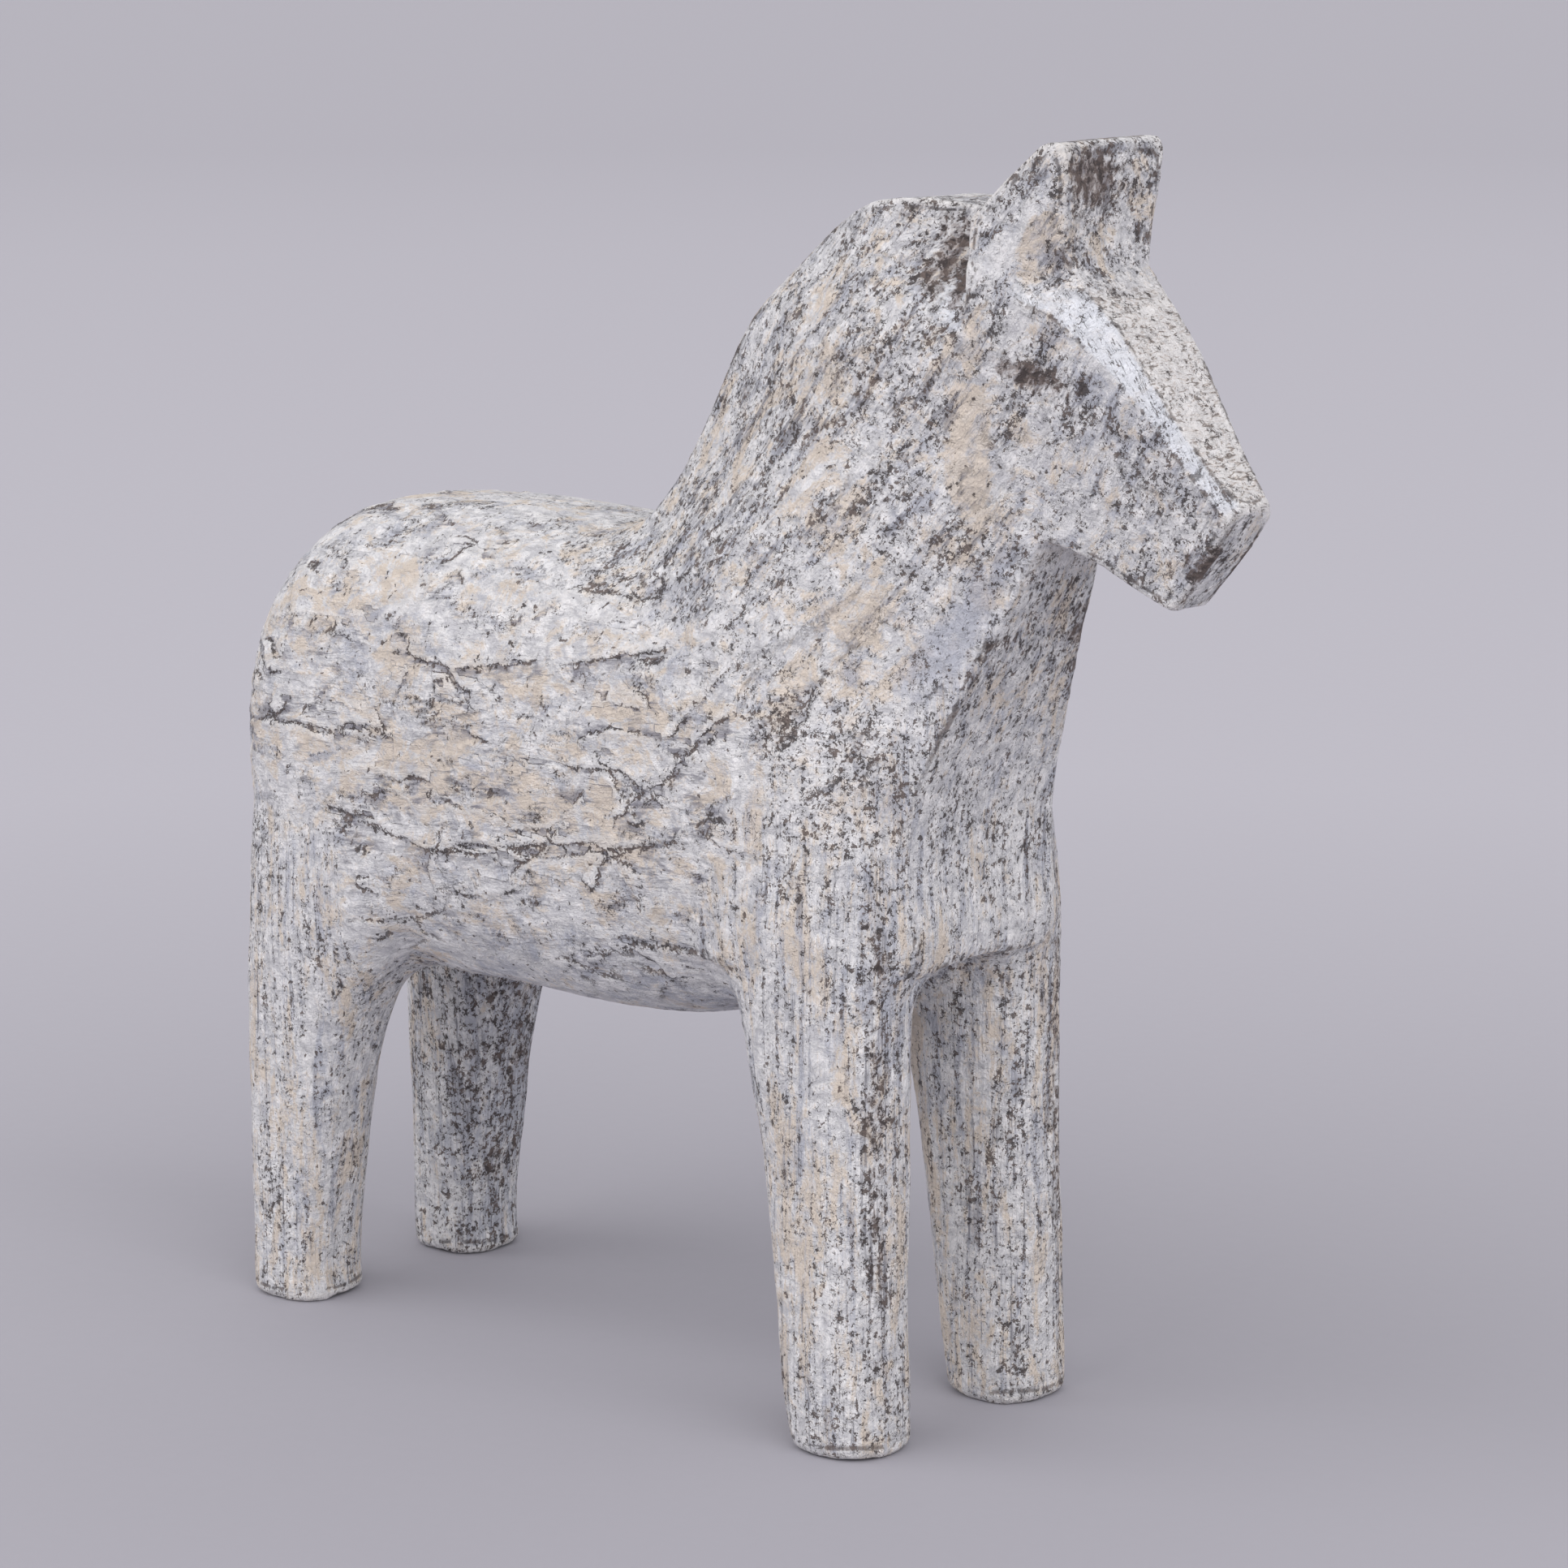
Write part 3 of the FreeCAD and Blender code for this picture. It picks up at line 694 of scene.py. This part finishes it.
class Maker:
    """Adds nodes to one material. An input is a number, a tuple or another node's output."""

    def __init__(self, name):
        self.material = bpy.data.materials.new(name)
        self.material.use_nodes = True
        self.tree = self.material.node_tree
        self.shader = self.tree.nodes["Principled BSDF"]
        self.place = self.put("ShaderNodeTexCoord", {}).outputs["Object"]

    def put(self, kind, inputs, **settings):
        node = self.tree.nodes.new(kind)
        for name, value in settings.items():
            setattr(node, name, value)
        for name, value in inputs.items():
            self.feed(node.inputs[name], value)
        return node

    def feed(self, socket, value):
        if isinstance(value, bpy.types.NodeSocket):
            self.tree.links.new(value, socket)
        else:
            socket.default_value = value

    def math(self, operation, first, second=0.0, third=0.0):
        inputs = {0: first, 1: second, 2: third}
        return self.put("ShaderNodeMath", inputs, operation=operation).outputs[0]

    def add(self, *terms):
        total = terms[0]
        for term in terms[1:]:
            total = self.math("ADD", total, term)
        return total

    def scaled(self, value, factor, offset=0.0):
        return self.math("MULTIPLY_ADD", value, factor, offset)

    def times(self, first, second):
        return self.math("MULTIPLY", first, second)

    def total(self, *terms):
        """The sum of numbers and outputs, each alone or in a pair with its weight."""
        return self.add(*(self.scaled(*t) if isinstance(t, tuple) else t for t in terms))

    def most(self, first, *others):
        """The largest of several."""
        for other in others:
            first = self.math("MAXIMUM", first, other)
        return first

    def rest(self, share):
        """What a share leaves of the whole."""
        return self.math("SUBTRACT", 1.0, share)

    def blend(self, share, first, second):
        """Between two numbers."""
        node = self.put("ShaderNodeMix", {"Factor": share}, data_type="FLOAT")
        self.feed(node.inputs[2], first)
        self.feed(node.inputs[3], second)
        return node.outputs[0]

    def tint(self, share, first, second):
        """Between two colours."""
        node = self.put("ShaderNodeMix", {"Factor": share}, data_type="RGBA")
        self.feed(node.inputs[6], first)
        self.feed(node.inputs[7], second)
        return node.outputs[2]

    def rise(self, value, start, end):
        """0 at start and 1 at end, smooth between."""
        inputs = {"Value": value, "From Min": start, "From Max": end}
        return self.put("ShaderNodeMapRange", inputs, interpolation_type="SMOOTHSTEP").outputs[0]

    def field(self, name):
        """A number that the mesh keeps at its points."""
        return self.put("ShaderNodeAttribute", {}, attribute_name=name).outputs["Fac"]

    def along(self, place, size, degrees=0.0):
        """Coordinates in which lumps have the given size, with their long axis risen towards +X."""
        inputs = {"Vector": place, "Rotation": (0, math.radians(-degrees), 0), "Scale": size}
        return self.put("ShaderNodeMapping", inputs, vector_type="TEXTURE").outputs[0]

    def cloud(self, place, size, detail=3, roughness=0.5, distortion=0.0, degrees=0.0):
        """Noise about 0, mostly from -2 to 2, with lumps of one size, or of one for each axis."""
        sizes = (size,) * 3 if isinstance(size, float) else size
        inputs = {"Vector": self.along(place, sizes, degrees), "Scale": 1.0,
                  "Detail": float(detail), "Roughness": roughness, "Distortion": distortion}
        value = self.put("ShaderNodeTexNoise", inputs).outputs["Fac"]
        weights = [roughness**octave for octave in range(detail + 1)]
        spread = NOISE_SPREAD * math.sqrt(sum(w * w for w in weights)) / sum(weights)
        return self.scaled(value, 1 / spread, -0.5 / spread)

    def ramp(self, value, stops):
        node = self.put("ShaderNodeValToRGB", {"Fac": value})
        elements = node.color_ramp.elements
        while len(elements) < len(stops):
            elements.new(0.5)
        for element, (position, shade) in zip(elements, stops):
            element.position = position
            element.color = shade
        return node.outputs["Color"]

    def bump(self, height, distance, strength=1.0):
        inputs = {"Height": height, "Distance": distance, "Strength": strength}
        return self.put("ShaderNodeBump", inputs).outputs["Normal"]


def colour(red, green, blue):
    """A screen colour, 0 to 255, as the shaders take it."""
    shares = (c / 255 for c in (red, green, blue))
    return (*(c / 12.92 if c <= 0.04 else ((c + 0.055) / 1.055) ** 2.4 for c in shares), 1.0)


WHITE_DULL = colour(209, 208, 212)
WHITE = colour(231, 230, 232)
WHITE_CLEAN = colour(246, 244, 245)
CREAM_COAT = colour(226, 212, 197)
BLUE_COAT = colour(181, 184, 197)
SMEAR_GREY = colour(126, 125, 133)
# painted shade below the torn edges, partly grey paint, and a painted highlight on their lips
EDGE_SHADE = colour(142, 140, 149)
EDGE_HIGHLIGHT = colour(236, 234, 234)
CHAMFER_WHITE = colour(238, 241, 249)
NOSE_WHITE = colour(246, 243, 242)
NOSE_TAN = colour(176, 150, 128)
RIDGE_WHITE = colour(240, 237, 236)
GLAZE_BROWN = colour(122, 104, 97)
STAIN_DARK = colour(62, 54, 53)
STAIN_LIGHT = colour(108, 95, 90)
BUMP_HEIGHT = 0.0005


class Brushwork(Maker):
    """The paint's material, with the form's own fields and the clouds that its coats share."""

    def __init__(self, name):
        super().__init__(name)
        zone_names = ("column", "neck", "flank", "belly", "head", "nose", "chamfer")
        self.column, self.neck, self.flank, self.belly, self.head, self.nose, self.chamfer = (
            self.field(zone) for zone in zone_names)
        self.rubbed, self.cream, self.blue = (self.field(n) for n in ("rubbed", "cream", "blue"))
        self.barrel = self.total(self.flank, (self.neck, 0.35), (self.belly, -0.6))
        # lumps of the coats' own colour, brush hairs, bands of hairs, single dabs and wide patches
        self.mottle = self.cloud(self.place, (0.0042, 0.0036, 0.0032), 6, 0.72, 0.6)
        self.hair = self.flow(0.0075, 0.0011, 4, 0.6)
        self.bands = self.flow(0.020, 0.0065, 3, 0.5, 0.5, 0.30)
        self.dab = self.cloud(self.place, (0.0075, 0.0050, 0.0042), 4, 0.55, 0.9, 8.0)
        self.patch = self.cloud(self.place, 0.020, 2, 0.5, 0.3)
        # crooked lines where it is near zero, what breaks them, and what gathers them
        self.worm = self.blend(
            self.column, self.cloud(self.place, (0.0010, 0.0008, 0.0008), 2, 0.55, 0.8, 50.0),
            self.cloud(self.place, (0.0009, 0.0009, 0.0013), 2, 0.55, 0.8))
        self.breaks = self.cloud(self.place, 0.0011, 2, 0.6)
        self.clumps = self.cloud(self.place, (0.0030, 0.0022, 0.0022), 4, 0.65, 0.5, 50.0)

    def flow(self, length, width, detail, roughness, distortion=0.3, teeth=0.6):
        """Lumps drawn out the way the brush went: along the barrel, up the neck, down the legs."""
        look = (detail, roughness, distortion)
        drag = self.cloud(self.place, (0.8 * length, width, 0.9 * width), *look, 6.0)
        sweep = self.cloud(self.place, (0.8 * length, width, 0.75 * width), *look, 54.0)
        comb = self.cloud(self.place, (teeth * width, teeth * width, 1.6 * length), *look)
        return self.blend(self.column, self.blend(self.neck, drag, sweep), comb)

    def over(self, share, strength, below, above):
        """One colour over another where the share is high, at most this strong."""
        return self.tint(self.scaled(share, strength), below, above)


def coats(m):
    """White, cream and blue-grey coats dragged over one another."""
    cream_place = m.total(m.flow(0.016, 0.0110, 8, 0.74, 0.6), (m.mottle, 0.35), (m.cream, 1.7),
                          (m.head, -0.6), (m.belly, -0.8))
    blue_place = m.total((m.flow(0.013, 0.0085, 7, 0.74, 0.6), 0.8), (m.bands, 0.5), (m.blue, 1.3))
    whites = [(0.10, WHITE_DULL), (0.5, WHITE), (0.9, WHITE_CLEAN)]
    paint = m.ramp(m.scaled(m.mottle, 0.25, 0.5), whites)
    paint = m.over(m.rise(cream_place, -0.2, 2.0), 0.90, paint, CREAM_COAT)
    return m.over(m.rise(blue_place, 0.1, 2.7), 0.75, paint, BLUE_COAT)


def smears(m):
    """Where grey shows through the coats, in bundles of brush hairs."""
    return m.total((m.hair, 0.8), (m.bands, 0.8), (m.patch, 0.3), m.rubbed, (m.flank, -0.6),
                   (m.column, -0.4), (m.belly, -0.4))


def pits(m):
    """Fine crooked pits and gaps, gathered where the brush went over dry."""
    gather = m.total((m.bands, 0.60), (m.patch, 0.30), (m.rubbed, 1.1), (m.cream, -0.7),
                     (m.neck, 0.15), (m.column, -0.15), (m.flank, -0.95), (m.belly, -0.5),
                     (m.nose, -1.1), (m.chamfer, -1.2))
    density = m.rise(gather, -1.8, 3.0)
    width = m.times(m.scaled(density, 1.15), m.total((m.breaks, 0.60), (m.clumps, 0.42), 0.42))
    gap = m.math("SUBTRACT", width, m.math("ABSOLUTE", m.worm))
    pit = m.total(m.clumps, (m.breaks, 0.5), (density, 1.5))
    return m.most(m.rise(gap, -0.12, 0.22), m.rise(pit, 2.55, 2.85))


def torn_edges(m, paint):
    """The edges of overlapping strokes on the barrel, cracked below, with painted shade under the
    overhanging stroke, partly grey paint in brush hairs, and a painted highlight on the lip above.
    """
    torn_edge = m.field("torn")
    edge = m.total((m.field("daub"), 1000.0), (m.worm, 0.16), (m.clumps, 0.18))
    reach = m.scaled(m.total(torn_edge, (m.clumps, 0.35), (m.breaks, 0.20)), 0.68, -0.05)
    below = m.times(m.rise(m.add(edge, reach), 0.0, 0.35), m.rest(m.rise(edge, 0.0, 0.25)))
    crack = m.times(m.times(below, m.rise(reach, 0.15, 0.45)), m.rise(m.barrel, 0.25, 0.5))
    # painted shade: a grey band below each edge where the upper stroke overhangs, broken by brush
    # hairs
    shade = m.times(m.rise(edge, -5.0, -0.2), m.rest(m.rise(edge, -0.2, 0.3)))
    ragged = m.rise(m.total(m.hair, m.dab, (torn_edge, 1.5)), -0.6, 3.4)
    paint = m.over(m.times(m.times(shade, m.barrel), ragged), 0.9, paint, EDGE_SHADE)
    # painted highlight: a light band on the lip along the upper side of each edge
    light = m.times(m.rise(edge, -0.1, 0.4), m.rest(m.rise(edge, 0.8, 3.0)))
    paint = m.tint(m.times(m.scaled(light, 0.5), m.barrel), paint, EDGE_HIGHLIGHT)
    return paint, crack, light


def nose_paint(m, paint):
    """Whiter paint, with long cracks down the chamfers and short brown strokes across the front."""
    down = m.cloud(m.place, (0.0120, 0.0011, 0.0011), 3, 0.6, 0.5, -53.0)
    cross = m.cloud(m.place, (0.0013, 0.0042, 0.0013), 5, 0.7, 1.6)
    seam = m.rest(m.rise(m.math("ABSOLUTE", m.scaled(down, 1.0, -0.55)), 0.06, 0.26))
    seams = m.times(m.chamfer, m.times(seam, m.rise(m.clumps, -0.9, 0.2)))
    strokes = m.times(m.nose, m.rise(m.total(cross, (m.clumps, 0.5)), 1.2, 2.2))
    paint = m.over(m.chamfer, 0.75, paint, CHAMFER_WHITE)
    paint = m.over(m.nose, 0.85, paint, NOSE_WHITE)
    paint = m.over(m.times(m.nose, m.rise(cross, -0.2, 1.8)), 0.45, paint, NOSE_TAN)
    return paint, m.most(seams, m.scaled(strokes, 0.65))


def arrises(m, paint):
    """A light ridge of paint along each arris, with a thin dark line beside it."""
    worn = m.field("worn_edge")
    ridge = m.rest(m.rise(m.math("ABSOLUTE", m.scaled(worn, 1.0, -0.62)), 0.04, 0.20))
    broken = m.rise(m.total(m.clumps, (m.patch, 0.8), (m.chamfer, -2.0)), -0.8, 0.5)
    paint = m.over(m.rise(worn, 0.75, 1.1), 0.7, paint, RIDGE_WHITE)
    return paint, m.scaled(m.times(ridge, broken), 0.8)


def paint_material():
    """Off-white, cream and blue-grey paint, brushed out and rubbed back to dark stained wood."""
    m = Brushwork("distressed_paint")
    smear = smears(m)
    paint = m.over(m.rise(smear, 0.2, 3.4), 0.80, coats(m), SMEAR_GREY)
    paint, crack, light = torn_edges(m, paint)
    paint, nose_cracks = nose_paint(m, paint)
    paint, line = arrises(m, paint)
    glaze = m.rise(m.total((m.rubbed, 1.4), (m.clumps, 0.35), (m.patch, 0.2)), 0.9, 2.3)
    paint = m.over(glaze, 0.75, paint, GLAZE_BROWN)

    # bare stained wood shows in the pits, lines and cracks, and where patches were rubbed through;
    # the rubbing field also carries painted shade, which adds to these patches
    wood = m.tint(m.rise(m.mottle, -1.0, 1.0), STAIN_DARK, STAIN_LIGHT)
    patchy = m.rise(m.total((m.rubbed, 1.6), (smear, 0.25), (m.clumps, 0.7)), 2.3, 3.6)
    bare = m.most(pits(m), line, crack, patchy, nose_cracks)
    m.feed(m.shader.inputs["Base Color"], m.over(bare, 0.90, paint, wood))
    m.feed(m.shader.inputs["Roughness"], m.total(0.55, (bare, 0.2), (m.mottle, 0.03)))
    height = m.total((bare, -0.6), (m.hair, 0.10), (m.mottle, 0.16), (light, 0.3), (m.worm, 0.06),
                     (m.times(m.barrel, m.dab), 0.20))
    m.feed(m.shader.inputs["Normal"], m.bump(height, BUMP_HEIGHT))
    m.shader.inputs["Specular IOR Level"].default_value = 0.4
    return m.material


def wood_material(name, light, dark, axis):
    """Bare wood with its grain along one axis."""
    m = Maker(name)
    long_axis = tuple(0.060 if i == axis else 0.0022 for i in range(3))
    fibre_axis = tuple(0.012 if i == axis else 0.00035 for i in range(3))
    rings = m.cloud(m.place, long_axis, 4, 0.5, 0.6)
    fibre = m.cloud(m.place, fibre_axis, 3, 0.6)
    shade = m.add(0.5, m.scaled(rings, 0.14), m.scaled(fibre, 0.06))
    m.feed(m.shader.inputs["Base Color"], m.ramp(shade, [(0.25, dark), (0.75, light)]))
    m.feed(m.shader.inputs["Roughness"], m.scaled(fibre, 0.03, 0.62))
    m.feed(m.shader.inputs["Normal"], m.bump(shade, 0.0002, 0.6))
    return m.material


# ------------------------------------------------------------------ floor, light and camera


def make_floor():
    """A pale floor, darker towards and under the horse as painted shade, and palest at its far
    edge.
    """
    m = Maker("pale_floor")
    away = m.put("ShaderNodeVectorMath", {0: m.place}, operation="LENGTH").outputs["Value"]
    # painted shade: the floor's colour darkens towards the horse, most of all close under it
    tone = m.ramp(m.scaled(away, 0.2), [
        (0.03, colour(169, 167, 175)), (0.15, colour(184, 182, 190)),
        (0.62, colour(179, 177, 185)), (0.90, colour(173, 171, 179))])
    far_tone = colour(200, 199, 202)
    m.feed(m.shader.inputs["Base Color"], m.tint(m.rise(away, 10.0, 28.0), tone, far_tone))
    m.shader.inputs["Specular IOR Level"].default_value = 0.2
    grain = m.cloud(m.place, 0.004, 2)
    m.feed(m.shader.inputs["Roughness"], m.scaled(grain, 0.02, 0.8))
    corners = FLOOR_HALF * np.array([(-1, -1, 0), (1, -1, 0), (1, 1, 0), (-1, 1, 0)])
    floor = bpy.data.objects.new("floor", mesh_of("floor", corners, np.array([[0, 1, 2, 3]])))
    floor.location.z = CAD_LOW.z
    floor.data.materials.append(m.material)
    bpy.context.scene.collection.objects.link(floor)


SCREEN_TONE = (1.0, 0.99, 0.985)
SCREEN_SPREAD = 70.0


def make_light(name, towards, power):
    """Soft even light, as from a large far screen in the given direction."""
    lamp = bpy.data.lights.new(name, "SUN")
    lamp.energy = power
    lamp.angle = math.radians(SCREEN_SPREAD)
    lamp.color = SCREEN_TONE
    obj = bpy.data.objects.new(name, lamp)
    obj.location = Vector(towards) * 3.0
    obj.rotation_mode = "QUATERNION"
    obj.rotation_quaternion = (-Vector(towards)).to_track_quat("-Z", "Y")
    bpy.context.scene.collection.objects.link(obj)


def make_world():
    """Even light from all round."""
    world = bpy.data.worlds.new("studio")
    world.use_nodes = True
    background = world.node_tree.nodes["Background"]
    background.inputs["Color"].default_value = (0.98, 0.97, 1.0, 1.0)
    background.inputs["Strength"].default_value = 0.68
    bpy.context.scene.world = world


def make_camera():
    """The camera, turned from the right side towards the nose, looking a little down."""
    azimuth, fall = math.radians(42.1), math.radians(11.13)
    level = math.cos(fall)
    look = Vector((-math.sin(azimuth) * level, math.cos(azimuth) * level, -math.sin(fall)))
    data = bpy.data.cameras.new("camera")
    data.sensor_width = 36.0
    data.lens = 111.8
    data.clip_start, data.clip_end = 0.05, 100.0
    camera = bpy.data.objects.new("camera", data)
    camera.location = (0.75337, -0.82626, 0.36279)
    camera.rotation_mode = "QUATERNION"
    camera.rotation_quaternion = look.to_track_quat("-Z", "Y")
    bpy.context.scene.collection.objects.link(camera)
    bpy.context.scene.camera = camera


PINE = (colour(222, 192, 146), colour(190, 148, 98))
BEECH = (colour(214, 178, 136), colour(176, 132, 92))
make_boards(paint_material(), wood_material("bare_pine", *PINE, 2))
beech_across = wood_material("beech_across", *BEECH, 1)
beech_along = wood_material("beech_along", *BEECH, 0)
for dowel in DOWELS:
    beech = beech_along if "seam" in dowel else beech_across
    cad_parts[dowel].data.materials[0] = beech
make_floor()
make_world()
make_light("left_screen", (-0.45, -0.85, 0.62), 1.18)
make_light("right_screen", (1.0, -0.40, 0.62), 1.40)
make_camera()
bpy.context.scene.view_settings.view_transform = "Standard"
